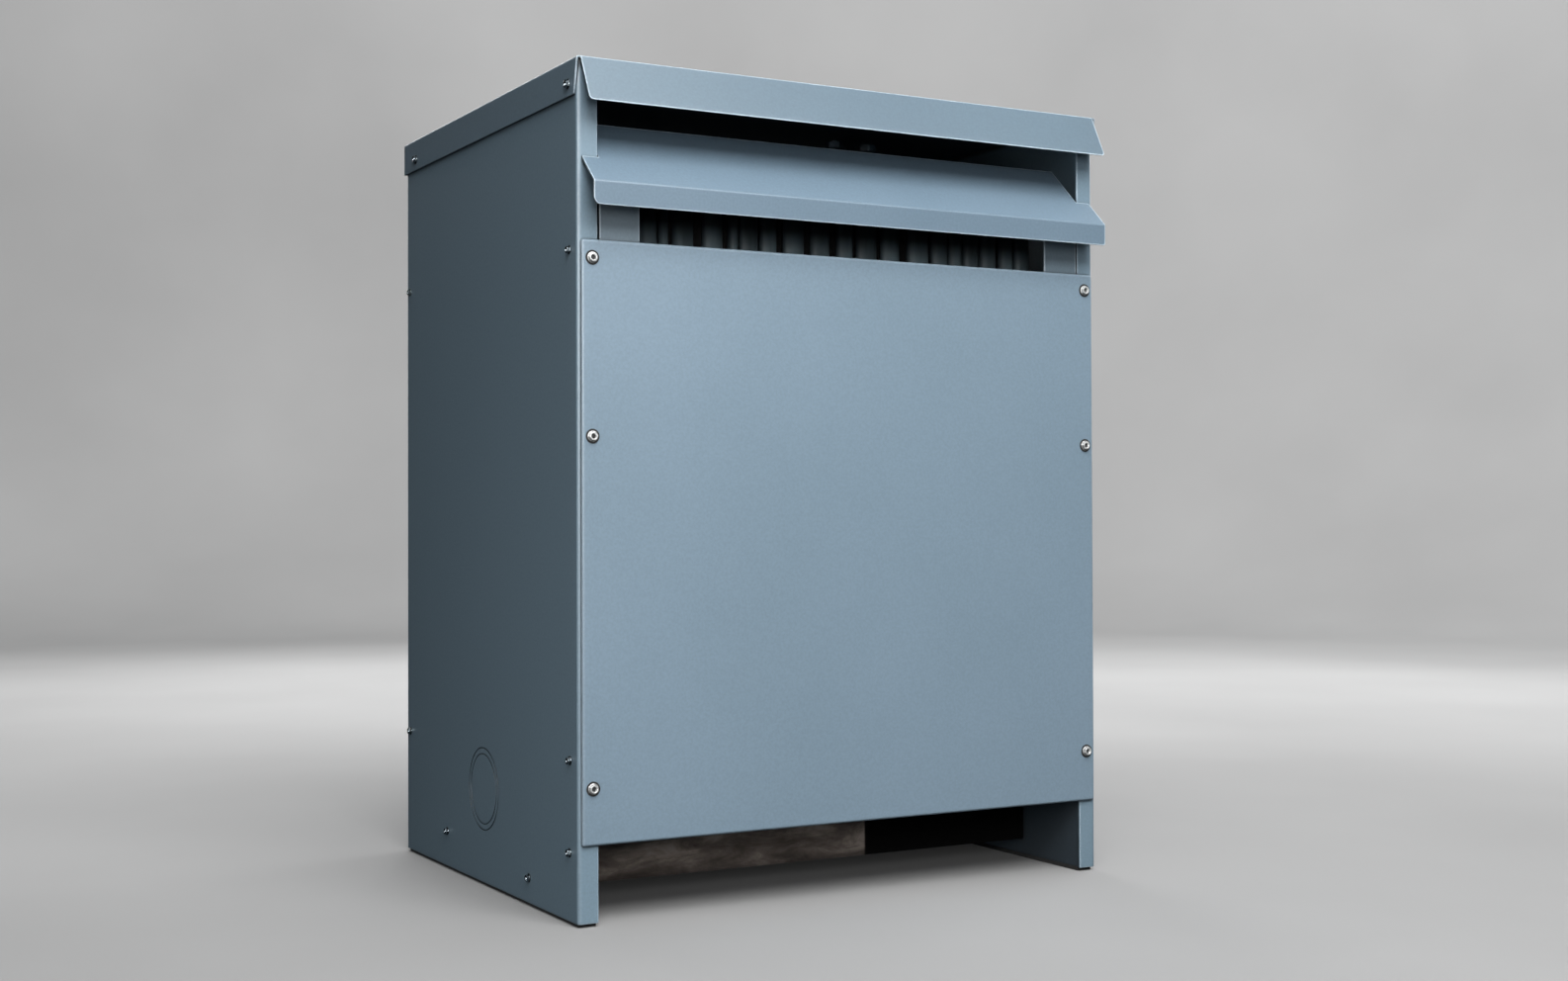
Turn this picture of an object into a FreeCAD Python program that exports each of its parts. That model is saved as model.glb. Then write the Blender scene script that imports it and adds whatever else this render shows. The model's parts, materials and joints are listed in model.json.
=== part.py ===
import FreeCAD, Part
import os
import Sketcher

# A dry-type three-phase power transformer in a ventilated sheet-steel case.
# Millimetres, +Z up, the front of the case towards -Y. The origin is on the floor, under the
# middle of the whole part. The pieces are drawn about the middle of the case, and every one is
# then moved back by CASE_Y, because the front hood reaches out further than the back of the lid.

SIZES = {
    # The case, over its two side panels and its lid.
    "width": 510.0,
    "depth": 418.5,
    "height": 686.0,
    # Side panels: folded sheet with a flange at the front and one at the back.
    "panel_sheet": 1.9,
    "panel_bend": 3.5,
    "flange": 17.5,
    "flange_round": 0.7,
    # Rubber strip under each side panel, and the folded rail that stands on it behind the panel.
    "strip_height": 3.0,
    "strip_inset": 2.0,
    "strip_width": 15.0,
    "strip_end_inset": 4.5,
    "rail_sheet": 2.0,
    "rail_reach": 14.0,
    "rail_top": 80.0,
    "rail_notch_room": 8.5,
    # Lid.
    "lid_sheet": 1.5,
    "lid_side_gap": 0.2,
    "lid_skirt": 29.6,
    "lid_skirt_cut": 6.1,
    "lid_front_lap": 2.85,
    "lid_back_gap": 0.65,
    "apron_drop": 37.6,
    "apron_reach": 18.8,
    "apron_inset": 3.6,
    "apron_corner": 3.3,
    "skirt_corner": 1.4,
    "lid_bend": 2.0,
    # Front and back covers, screwed to the flanges.
    "cover_sheet": 1.5,
    "cover_proud": 3.0,
    "cover_inset": 2.7,
    "cover_bottom": 64.0,
    "cover_top": 542.0,
    "cover_bend": 2.2,
    "cover_gap": 0.7,
    "cover_rim_inset": 1.2,
    # Weather blades over the covers: the front one is a hood that stands out.
    "blade_sheet": 1.5,
    "slot_height": 24.5,
    "lip_height": 18.8,
    "hood_reach": 24.25,
    "blade_depth": 36.0,
    "blade_slope": 0.9325,
    "blade_end_gap": 1.0,
    "blade_bend": 2.5,
    "hood_inset": 4.1,
    "hood_seat_gap": 0.1,
    "hood_corner_left": 6.0,
    "hood_corner_right": 2.5,
    # Brackets that carry the blades: the front ones lie level with the flanges, on a foot
    # behind the flange, and the back ones lie wholly behind the flanges.
    "bracket_sheet": 1.9,
    "bracket_reveal": 36.5,
    "bracket_gap": 1.8,
    "bracket_lap": 12.5,
    "bracket_drop": 50.0,
    "bracket_foot": 38.0,
    "bracket_tab": 14.0,
    # Heads of the screws that hold the covers and the lid, with their places.
    "screw_head": 9.4,
    "screw_proud": 3.0,
    "cover_screw_edge": 9.0,
    "cover_screw_top": 14.5,
    "cover_screw_middle": 155.6,
    "cover_screw_bottom": 45.0,
    "lid_screw_head": 9.0,
    "lid_screw_proud": 2.8,
    "lid_screw_drop": 19.5,
    "lid_screw_front": 14.45,
    "lid_screw_back": 31.65,
    # Knockout for a conduit, low on each side panel: two scored circles.
    "knockout_height": 84.5,
    "knockout_outer": 73.0,
    "knockout_inner": 62.5,
    "score_width": 1.2,
    "score_depth": 0.7,
    # Channels across the bottom, with the core standing on them through rubber pads.
    "channel_bottom": 17.0,
    "channel_height": 36.0,
    "channel_width": 41.0,
    "channel_sheet": 3.0,
    "pad_height": 10.0,
    "pad_length": 40.0,
    "pad_spacing": 300.0,
    # Core, its clamps and the windings.
    "top_room": 29.5,
    "yoke_height": 55.0,
    "leg_width": 50.0,
    "clamp_sheet": 5.0,
    "clamp_foot": 24.0,
    "coil_side_room": 27.0,
    "coil_face_room": 59.25,
    "coil_build": 62.0,
    "coil_gap": 3.0,
    "coil_end_room": 10.0,
    "coil_corner": 12.0,
    "rib_radius": 12.0,
    "rib_bulge": 4.0,
}
LEGS = 3
RIBS = 7

doc = FreeCAD.newDocument("PowerTransformer")
sheet = doc.addObject("Spreadsheet::Sheet", "Sizes")
for row, (name, number) in enumerate(SIZES.items(), start=1):
    sheet.set(f"A{row}", str(number))
    sheet.setAlias(f"A{row}", name)
doc.recompute()

# Places that several pieces share, in the words of the sheet.
REAR_PROUD = "max(Sizes.cover_proud + Sizes.screw_proud; Sizes.lid_back_gap + Sizes.lid_sheet)"
CASE_Y = f"(Sizes.hood_reach - {REAR_PROUD}) / 2"
HALF_WIDTH = "Sizes.width / 2"
HALF_DEPTH = "Sizes.depth / 2"
FRONT = "(-Sizes.depth / 2)"
PANEL_HEIGHT = "(Sizes.height - Sizes.lid_sheet - Sizes.strip_height)"
INNER_HALF_WIDTH = "(Sizes.width / 2 - Sizes.panel_sheet)"
FLANGE_X = "(Sizes.width / 2 - Sizes.flange)"
FLANGE_BACK = "(Sizes.panel_sheet - Sizes.depth / 2)"
RAIL_X = f"({INNER_HALF_WIDTH} - Sizes.rail_reach)"
LID_SIDE = "(Sizes.width / 2 + Sizes.lid_side_gap + Sizes.lid_sheet)"
LIP_BOTTOM = "(Sizes.cover_top + Sizes.slot_height)"
LIP_TOP = f"({LIP_BOTTOM} + Sizes.lip_height)"
BLADE_THICK = "(Sizes.blade_sheet * sqrt(1 + Sizes.blade_slope ^ 2))"
COIL_PITCH = f"(({INNER_HALF_WIDTH} - Sizes.coil_side_room) * 2 / {LEGS})"
COIL_WIDTH = f"({COIL_PITCH} - Sizes.coil_gap)"
COIL_HALF_DEPTH = "(Sizes.depth / 2 - Sizes.coil_face_room)"
STACK_HALF = f"({COIL_HALF_DEPTH} - Sizes.coil_build)"
CHANNEL_Y = f"({STACK_HALF} + Sizes.clamp_foot / 2)"
PAD_BOTTOM = "(Sizes.channel_bottom + Sizes.channel_height)"
CORE_BOTTOM = f"({PAD_BOTTOM} + Sizes.pad_height)"
CORE_TOP = "(Sizes.height - Sizes.lid_sheet - Sizes.top_room)"
LEG_BOTTOM = f"({CORE_BOTTOM} + Sizes.yoke_height)"
LEG_TOP = f"({CORE_TOP} - Sizes.yoke_height)"
YOKE_HALF = f"({COIL_PITCH} * {(LEGS - 1) / 2} + Sizes.leg_width / 2)"

parts = []


def value(expression):
    """The number that an expression of the sheet's sizes gives now."""
    return float(sheet.evalExpression(expression))


def place(part, x="0", y="0", z="0", back=False):
    """Set a sub-part in the case; a piece of the back is the front one turned half round."""
    if back:
        part.Placement.Rotation = FreeCAD.Rotation(FreeCAD.Vector(0, 0, 1), 180)
    part.setExpression("Placement.Base.x", x)
    part.setExpression("Placement.Base.y", f"{CASE_Y} + {y}")
    part.setExpression("Placement.Base.z", z)
    parts.append(part)
    return part


def new_body(name, **where):
    body = doc.addObject("PartDesign::Body", name)
    body.Label = name
    return place(body, **where)


def new_sketch(body, plane, offset="0"):
    """A sketch on one of the body's own planes, moved along its normal by the offset."""
    sketch = body.newObject("Sketcher::SketchObject", f"{body.Name}_outline")
    support = [item for item in body.Origin.OriginFeatures if item.Role == plane][0]
    sketch.AttachmentSupport = [(support, "")]
    sketch.MapMode = "FlatFace"
    sketch.setExpression("AttachmentOffset.Base.z", offset)
    return sketch


def pin(sketch, geometry, point, corner):
    """Fix one point of a sketch at a corner given by two expressions."""
    for kind, expression in zip(("DistanceX", "DistanceY"), corner):
        rule = Sketcher.Constraint(kind, -1, 1, geometry, point, value(expression))
        index = sketch.addConstraint(rule)
        sketch.setExpression(f"Constraints[{index}]", expression)


def polygon(sketch, corners):
    """A closed outline of straight lines through the corners."""
    spots = [FreeCAD.Vector(value(x), value(y), 0) for x, y in corners]
    lines = []
    for start, end in zip(spots, spots[1:] + spots[:1]):
        lines.append(sketch.addGeometry(Part.LineSegment(start, end), False))
    for line, following in zip(lines, lines[1:] + lines[:1]):
        sketch.addConstraint(Sketcher.Constraint("Coincident", line, 2, following, 1))
    for line, corner in zip(lines, corners):
        pin(sketch, line, 1, corner)


def rectangle(sketch, low, high):
    polygon(sketch, [low, (high[0], low[1]), high, (low[0], high[1])])


def circle(sketch, centre, radius):
    spot = FreeCAD.Vector(value(centre[0]), value(centre[1]), 0)
    ring = Part.Circle(spot, FreeCAD.Vector(0, 0, 1), value(radius))
    index = sketch.addGeometry(ring, False)
    pin(sketch, index, 3, centre)
    rule = sketch.addConstraint(Sketcher.Constraint("Radius", index, value(radius)))
    sketch.setExpression(f"Constraints[{rule}]", radius)


def pad(body, sketch, length, centred=False):
    feature = body.newObject("PartDesign::Pad", f"{body.Name}_pad")
    feature.Profile = (sketch, [""])
    feature.SideType = "Symmetric" if centred else "One side"
    feature.setExpression("Length", length)
    doc.recompute()
    return feature


def pocket(body, sketch, length):
    """Cut along the sketch's normal, and stop if nothing was cut."""
    before = body.Shape.Volume
    feature = body.newObject("PartDesign::Pocket", f"{body.Name}_pocket")
    feature.Profile = (sketch, [""])
    feature.Reversed = True
    feature.setExpression("Length", length)
    doc.recompute()
    if not body.Shape.Volume < before:
        raise RuntimeError(f"{body.Label}: a pocket cut nothing")
    return feature


def round_edges(body, radius, chosen):
    """Fillet the edges whose middle passes the test."""
    base = body.Tip
    names = []
    for number, edge in enumerate(base.Shape.Edges, start=1):
        if chosen(edge, edge.valueAt((edge.FirstParameter + edge.LastParameter) / 2)):
            names.append(f"Edge{number}")
    feature = body.newObject("PartDesign::Fillet", f"{body.Name}_fillet")
    feature.Base = (base, names)
    feature.setExpression("Radius", radius)
    doc.recompute()
    return feature


def runs_along(edge, axis):
    """True for a straight edge along the axis."""
    ends = [vertex.Point for vertex in edge.Vertexes]
    return len(ends) == 2 and abs((ends[1] - ends[0]).normalize().dot(axis)) > 0.999


ALONG_X = FreeCAD.Vector(1, 0, 0)
ALONG_Y = FreeCAD.Vector(0, 1, 0)
ALONG_Z = FreeCAD.Vector(0, 0, 1)


def block(name, low, length, width, tall):
    """A plain block: its low corner in the case, and its three sizes."""
    part = doc.addObject("Part::Box", name)
    part.Label = name
    part.setExpression("Length", length)
    part.setExpression("Width", width)
    part.setExpression("Height", tall)
    return place(part, *low)


def mirrored(side, expression):
    """The expression on the right of the case, its opposite on the left."""
    return f"({expression})" if side == "right" else f"(-({expression}))"


def side_panel(side):
    """Folded panel: the side wall and its two flanges, with the scored knockout."""
    body = new_body(f"side_panel_{side}", z="Sizes.strip_height")
    sketch = new_sketch(body, "XY_Plane")
    section = [
        (FLANGE_X, f"-{HALF_DEPTH}"),
        (HALF_WIDTH, f"-{HALF_DEPTH}"),
        (HALF_WIDTH, HALF_DEPTH),
        (FLANGE_X, HALF_DEPTH),
        (FLANGE_X, f"-{FLANGE_BACK}"),
        (INNER_HALF_WIDTH, f"-{FLANGE_BACK}"),
        (INNER_HALF_WIDTH, FLANGE_BACK),
        (FLANGE_X, FLANGE_BACK),
    ]
    polygon(sketch, [(mirrored(side, x), y) for x, y in section])
    pad(body, sketch, PANEL_HEIGHT)
    outer = value(HALF_WIDTH)
    inner = value(INNER_HALF_WIDTH)
    free = value(FLANGE_X)
    face = value(HALF_DEPTH)
    round_edges(body, "Sizes.panel_bend",
                lambda edge, spot: runs_along(edge, ALONG_Z) and abs(abs(spot.x) - outer) < 0.01)
    round_edges(body, "Sizes.panel_bend - Sizes.panel_sheet",
                lambda edge, spot: runs_along(edge, ALONG_Z) and abs(abs(spot.x) - inner) < 0.01)
    round_edges(body, "Sizes.flange_round",
                lambda edge, spot: runs_along(edge, ALONG_Z) and abs(abs(spot.x) - free) < 0.01
                and abs(abs(spot.y) - face) < 0.01)
    start = f"-{HALF_WIDTH}" if side == "left" else f"{HALF_WIDTH} - Sizes.score_depth"
    rings = new_sketch(body, "YZ_Plane", start)
    centre = ("0", "Sizes.knockout_height - Sizes.strip_height")
    for across in ("Sizes.knockout_outer", "Sizes.knockout_inner"):
        circle(rings, centre, f"{across} / 2")
        circle(rings, centre, f"{across} / 2 - Sizes.score_width")
    pocket(body, rings, "Sizes.score_depth")


def base_strip(side):
    """Rubber strip on the floor, from front to back under a rail."""
    edge = f"({HALF_WIDTH} - Sizes.strip_inset)"
    low_x = f"({edge} - Sizes.strip_width)" if side == "right" else f"(-{edge})"
    low_y = f"(Sizes.strip_end_inset - {HALF_DEPTH})"
    block(f"base_strip_{side}", (low_x, low_y, "0"),
          "Sizes.strip_width", f"-2 * {low_y}", "Sizes.strip_height")


def base_rail(side):
    """Folded rail inside a side panel, notched where a conduit comes in through the knockout."""
    body = new_body(f"base_rail_{side}")
    low = "Sizes.strip_height"
    high = "Sizes.rail_top"
    web_back = f"({RAIL_X} + Sizes.rail_sheet)"
    section = [
        (RAIL_X, low),
        (INNER_HALF_WIDTH, low),
        (INNER_HALF_WIDTH, f"{low} + Sizes.rail_sheet"),
        (web_back, f"{low} + Sizes.rail_sheet"),
        (web_back, f"{high} - Sizes.rail_sheet"),
        (INNER_HALF_WIDTH, f"{high} - Sizes.rail_sheet"),
        (INNER_HALF_WIDTH, high),
        (RAIL_X, high),
    ]
    outline = new_sketch(body, "XZ_Plane")
    polygon(outline, [(mirrored(side, x), z) for x, z in section])
    pad(body, outline, f"2 * ({HALF_DEPTH} - Sizes.panel_bend)", centred=True)
    notch = new_sketch(body, "YZ_Plane", RAIL_X if side == "right" else f"-{INNER_HALF_WIDTH}")
    room = "(Sizes.knockout_outer / 2 + Sizes.rail_notch_room)"
    rectangle(notch, (f"-{room}", f"Sizes.knockout_height - {room}"), (room, f"{high} * 2"))
    pocket(body, notch, "Sizes.rail_reach")


def top_cover():
    """Lid: a flat top, skirts at the sides and the back, and a sloping apron in front."""
    body = new_body("top_cover")
    front = f"({FRONT} - Sizes.lid_front_lap)"
    back = f"({HALF_DEPTH} + Sizes.lid_back_gap + Sizes.lid_sheet)"
    skirt = "(Sizes.height - Sizes.lid_skirt)"
    outside = new_sketch(body, "YZ_Plane")
    polygon(outside, [
        (front, "Sizes.height"),
        (back, "Sizes.height"),
        (back, skirt),
        (f"{front} + Sizes.lid_skirt_cut", skirt),
    ])
    pad(body, outside, f"2 * {LID_SIDE}", centred=True)
    inside = new_sketch(body, "XY_Plane")
    rectangle(inside, (f"Sizes.lid_sheet - {LID_SIDE}", f"2 * {front}"),
              (f"{LID_SIDE} - Sizes.lid_sheet", f"{back} - Sizes.lid_sheet"))
    pocket(body, inside, "Sizes.height - Sizes.lid_sheet")
    apron = new_sketch(body, "YZ_Plane")
    low = "(Sizes.height - Sizes.apron_drop)"
    lean = "sqrt(1 + (Sizes.apron_reach / Sizes.apron_drop) ^ 2)"
    polygon(apron, [
        (front, "Sizes.height"),
        (f"{front} - Sizes.apron_reach", low),
        (f"{front} - Sizes.apron_reach + Sizes.lid_sheet * {lean}", low),
        (f"{front} + Sizes.lid_sheet * {lean}", "Sizes.height"),
    ])
    pad(body, apron, f"2 * ({LID_SIDE} - Sizes.apron_inset)", centred=True)
    top = value("Sizes.height")
    side_x = value(LID_SIDE)
    back_y = value(back)
    apron_x = side_x - value("Sizes.apron_inset")
    apron_z = value(low)
    skirt_y = value(f"{front} + Sizes.lid_skirt_cut")
    skirt_z = value(skirt)
    round_edges(body, "Sizes.lid_bend",
                lambda edge, spot: abs(spot.z - top) < 0.01
                and (abs(abs(spot.x) - side_x) < 0.01 or abs(spot.y - back_y) < 0.01))
    round_edges(body, "Sizes.apron_corner",
                lambda edge, spot: abs(abs(spot.x) - apron_x) < 0.01 and abs(spot.z - apron_z) < 0.01)
    round_edges(body, "Sizes.skirt_corner",
                lambda edge, spot: abs(spot.y - skirt_y) < 0.01 and abs(spot.z - skirt_z) < 0.01)


def case_cover(name, back=False):
    """Front or back cover: a shallow tray, standing on the flanges on a narrower rim."""
    body = new_body(name, back=back)
    half = f"({HALF_WIDTH} - Sizes.cover_inset)"
    face = new_sketch(body, "XZ_Plane", HALF_DEPTH)
    rectangle(face, (f"-{half}", "Sizes.cover_bottom"), (half, "Sizes.cover_top"))
    pad(body, face, "Sizes.cover_proud")
    proud = -value(f"{HALF_DEPTH} + Sizes.cover_proud")
    round_edges(body, "Sizes.cover_bend", lambda edge, spot: runs_along(edge, ALONG_Y))
    round_edges(body, "Sizes.cover_bend", lambda edge, spot: abs(spot.y - proud) < 0.01)
    hollow = new_sketch(body, "XZ_Plane", HALF_DEPTH)
    rim = "(Sizes.cover_rim_inset + Sizes.cover_sheet)"
    rectangle(hollow, (f"{rim} - {half}", f"Sizes.cover_bottom + {rim}"),
              (f"{half} - {rim}", f"Sizes.cover_top - {rim}"))
    pocket(body, hollow, "Sizes.cover_proud - Sizes.cover_sheet")
    gap = new_sketch(body, "XZ_Plane", HALF_DEPTH)
    rectangle(gap, (f"-{HALF_WIDTH}", "0"), (HALF_WIDTH, "Sizes.height"))
    rectangle(gap, (f"Sizes.cover_rim_inset - {half}", "Sizes.cover_bottom + Sizes.cover_rim_inset"),
              (f"{half} - Sizes.cover_rim_inset", "Sizes.cover_top - Sizes.cover_rim_inset"))
    pocket(body, gap, "Sizes.cover_gap")


def screw_heads(body, plane, offset, centres, across, proud):
    """Round heads that stand out from a plane along its normal."""
    sketch = new_sketch(body, plane, offset)
    for centre in centres:
        circle(sketch, centre, f"{across} / 2")
    pad(body, sketch, proud)


def cover_screws(name, back=False):
    """The heads of the screws down both sides of a cover."""
    body = new_body(name, back=back)
    edge = f"({HALF_WIDTH} - Sizes.cover_inset - Sizes.cover_screw_edge)"
    heights = ("(Sizes.cover_top - Sizes.cover_screw_top)",
               "(Sizes.cover_top - Sizes.cover_screw_middle)",
               "(Sizes.cover_bottom + Sizes.cover_screw_bottom)")
    centres = [(f"{sign}{edge}", height) for sign in ("-", "") for height in heights]
    screw_heads(body, "XZ_Plane", f"{HALF_DEPTH} + Sizes.cover_proud", centres,
                "Sizes.screw_head", "Sizes.screw_proud")


def lid_screws():
    """The heads of the screws through the lid's two side skirts."""
    body = new_body("lid_screws")
    height = "Sizes.height - Sizes.lid_screw_drop"
    centres = [(f"{FRONT} + Sizes.lid_screw_front", height),
               (f"{HALF_DEPTH} - Sizes.lid_screw_back", height)]
    for offset in (LID_SIDE, f"-({LID_SIDE} + Sizes.lid_screw_proud)"):
        screw_heads(body, "YZ_Plane", offset, centres,
                    "Sizes.lid_screw_head", "Sizes.lid_screw_proud")


def blade_profile(reach):
    """Section of a weather blade: an upright lip, then a slope up into the case."""
    lip = f"({FRONT} - {reach})"
    end = f"({FRONT} + Sizes.blade_depth)"
    rise = f"(({end} - {lip}) * Sizes.blade_slope)"
    return [
        (lip, LIP_BOTTOM),
        (f"{lip} + Sizes.blade_sheet", LIP_BOTTOM),
        (f"{lip} + Sizes.blade_sheet",
         f"{LIP_TOP} + Sizes.blade_sheet * Sizes.blade_slope - {BLADE_THICK}"),
        (end, f"{LIP_TOP} + {rise} - {BLADE_THICK}"),
        (end, f"{LIP_TOP} + {rise}"),
        (lip, LIP_TOP),
    ]


def bend_blade(body, reach):
    """Round the fold between the lip and the slope, outside and inside."""
    lip = value(f"{FRONT} - {reach}")
    inside = lip + value("Sizes.blade_sheet")
    fold = value(LIP_TOP)
    low = value(LIP_BOTTOM)
    round_edges(body, "Sizes.blade_bend",
                lambda edge, spot: runs_along(edge, ALONG_X) and abs(spot.y - lip) < 0.01
                and abs(spot.z - fold) < 0.01)
    round_edges(body, "Sizes.blade_bend - Sizes.blade_sheet",
                lambda edge, spot: runs_along(edge, ALONG_X) and abs(spot.y - inside) < 0.01
                and low + 0.01 < spot.z < fold)


def front_hood():
    """Hood: reaches out over the flanges at its ends, and goes in between them."""
    body = new_body("front_hood")
    half = f"({HALF_WIDTH} - Sizes.hood_inset)"
    section = new_sketch(body, "YZ_Plane")
    polygon(section, blade_profile("Sizes.hood_reach"))
    pad(body, section, f"2 * {half}", centred=True)
    notches = new_sketch(body, "XY_Plane")
    seat = f"{FRONT} - Sizes.hood_seat_gap"
    between = f"({FLANGE_X} - Sizes.blade_end_gap)"
    for side in ("left", "right"):
        rectangle(notches, (mirrored(side, between), seat),
                  (mirrored(side, HALF_WIDTH), f"{FRONT} + Sizes.blade_depth * 2"))
    pocket(body, notches, "Sizes.height")
    end = value(half)
    low = value(LIP_BOTTOM)
    for side, sign in (("left", -1), ("right", 1)):
        round_edges(body, f"Sizes.hood_corner_{side}",
                    lambda edge, spot: abs(spot.x - sign * end) < 0.01 and abs(spot.z - low) < 0.01)
    bend_blade(body, "Sizes.hood_reach")


def rear_blade():
    """Back blade: the same section with its lip flush between the back flanges."""
    body = new_body("rear_blade", back=True)
    section = new_sketch(body, "YZ_Plane")
    polygon(section, blade_profile("0"))
    pad(body, section, f"2 * ({FLANGE_X} - Sizes.blade_end_gap)", centred=True)
    bend_blade(body, "0")


def blade_bracket(name, side, reach, face, lap, back=False):
    """Bent strip with a tab that lies against the underside of the blade."""
    body = new_body(name, back=back)
    inner = f"({face} + Sizes.bracket_sheet)"
    under = f"({LIP_TOP} - {BLADE_THICK} + ({face} - {FRONT} + {reach}) * Sizes.blade_slope)"
    thick = "(Sizes.bracket_sheet * sqrt(1 + Sizes.blade_slope ^ 2))"
    foot = "(Sizes.cover_top - Sizes.bracket_drop)"
    rise = "(Sizes.bracket_tab * Sizes.blade_slope)"
    start = f"({FLANGE_X} - Sizes.bracket_reveal)"
    wide = f"(Sizes.bracket_reveal + {lap})"
    offset = start if side == "right" else f"-({start} + {wide})"
    section = new_sketch(body, "YZ_Plane", offset)
    polygon(section, [
        (face, foot),
        (inner, foot),
        (inner, f"{under} + Sizes.bracket_sheet * Sizes.blade_slope - {thick}"),
        (f"{face} + Sizes.bracket_tab", f"{under} + {rise} - {thick}"),
        (f"{face} + Sizes.bracket_tab", f"{under} + {rise}"),
        (face, under),
    ])
    pad(body, section, wide)
    return body


def hood_bracket(side):
    """Bracket of the front hood: a strip level with the flange, and a foot behind the flange."""
    body = blade_bracket(f"hood_bracket_{side}", side, "Sizes.hood_reach", FRONT,
                         "(-Sizes.bracket_gap)")
    foot = new_sketch(body, "XZ_Plane", f"-{FLANGE_BACK} - Sizes.bracket_sheet")
    low = "(Sizes.cover_top - Sizes.bracket_drop)"
    rectangle(foot, (mirrored(side, f"{FLANGE_X} - Sizes.bracket_reveal"), low),
              (mirrored(side, f"{FLANGE_X} + Sizes.bracket_lap"), f"{low} + Sizes.bracket_foot"))
    pad(body, foot, "Sizes.bracket_sheet")


def rear_bracket(side):
    """Bracket of the back blade, behind the back flange."""
    turned = {"left": "right", "right": "left"}[side]
    blade_bracket(f"blade_bracket_{side}", turned, "0", FLANGE_BACK, "Sizes.bracket_lap", back=True)


def base_channel(name, back=False):
    """Channel across the case, open downwards, with closed ends against the rails."""
    body = new_body(name, y=CHANNEL_Y if back else f"(-{CHANNEL_Y})", z="Sizes.channel_bottom")
    half = "Sizes.channel_width / 2"
    outside = new_sketch(body, "XY_Plane")
    rectangle(outside, (f"-{RAIL_X}", f"-{half}"), (RAIL_X, half))
    pad(body, outside, "Sizes.channel_height")
    inside = new_sketch(body, "XY_Plane")
    rectangle(inside, (f"Sizes.channel_sheet - {RAIL_X}", f"Sizes.channel_sheet - {half}"),
              (f"{RAIL_X} - Sizes.channel_sheet", f"{half} - Sizes.channel_sheet"))
    pocket(body, inside, "Sizes.channel_height - Sizes.channel_sheet")


def isolation_pad(name, x, y):
    """Rubber block between a base channel and the foot of a core clamp."""
    block(name, (f"{x} - Sizes.pad_length / 2", f"{y} - Sizes.clamp_foot / 2", PAD_BOTTOM),
          "Sizes.pad_length", "Sizes.clamp_foot", "Sizes.pad_height")


def core_clamp(name, upper, back=False):
    """Steel angle along a yoke: its foot points outwards, down low or up high."""
    body = new_body(name, z=LEG_TOP if upper else CORE_BOTTOM, back=back)
    face = f"(-{STACK_HALF})"
    toe = f"(-{STACK_HALF} - Sizes.clamp_foot)"
    tall = "Sizes.yoke_height"
    foot_low = f"({tall} - Sizes.clamp_sheet)" if upper else "0"
    foot_high = tall if upper else "Sizes.clamp_sheet"
    inside, outside = (foot_low, foot_high) if upper else (foot_high, foot_low)
    far = "0" if upper else tall
    section = new_sketch(body, "YZ_Plane")
    polygon(section, [
        (face, outside),
        (toe, outside),
        (toe, inside),
        (f"{face} - Sizes.clamp_sheet", inside),
        (f"{face} - Sizes.clamp_sheet", far),
        (face, far),
    ])
    pad(body, section, f"2 * {YOKE_HALF}", centred=True)


def core():
    """Laminated iron core: two yokes and an upright leg for each phase."""
    for name, low in (("lower_yoke", CORE_BOTTOM), ("upper_yoke", LEG_TOP)):
        block(name, (f"(-{YOKE_HALF})", f"(-{STACK_HALF})", low),
              f"2 * {YOKE_HALF}", f"2 * {STACK_HALF}", "Sizes.yoke_height")


def phase(name, index):
    """One core leg and the winding round it, with its row of rounded duct ribs."""
    centre = f"({COIL_PITCH} * {index - (LEGS - 1) / 2})"
    block(f"core_leg_{name}", (f"{centre} - Sizes.leg_width / 2", f"(-{STACK_HALF})", LEG_BOTTOM),
          "Sizes.leg_width", f"2 * {STACK_HALF}", f"{LEG_TOP} - {LEG_BOTTOM}")
    body = new_body(f"winding_{name}", x=centre, z=f"{LEG_BOTTOM} + Sizes.coil_end_room")
    tall = f"{LEG_TOP} - {LEG_BOTTOM} - 2 * Sizes.coil_end_room"
    half = f"({COIL_WIDTH} / 2)"
    flat = f"({COIL_HALF_DEPTH} - Sizes.rib_bulge)"
    wrap = new_sketch(body, "XY_Plane")
    rectangle(wrap, (f"-{half}", f"-{flat}"), (half, flat))
    rectangle(wrap, ("-Sizes.leg_width / 2", f"-{STACK_HALF}"),
              ("Sizes.leg_width / 2", STACK_HALF))
    pad(body, wrap, tall)
    corner = value(half)
    round_edges(body, "Sizes.coil_corner",
                lambda edge, spot: runs_along(edge, ALONG_Z) and abs(abs(spot.x) - corner) < 0.01)
    rib_pitch = f"({COIL_WIDTH} - 2 * Sizes.rib_radius) / {RIBS - 1}"
    ribs = new_sketch(body, "XY_Plane")
    for sign in ("-", ""):
        circle(ribs, (f"-{rib_pitch} * {(RIBS - 1) / 2}",
                      f"{sign}({COIL_HALF_DEPTH} - Sizes.rib_radius)"), "Sizes.rib_radius")
    first = pad(body, ribs, tall)
    row = body.newObject("PartDesign::LinearPattern", f"{body.Name}_ribs")
    row.Originals = [first]
    row.Direction = (ribs, ["H_Axis"])
    row.setExpression("Length", f"{rib_pitch} * {RIBS - 1}")
    row.Occurrences = RIBS
    body.Tip = row


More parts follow.
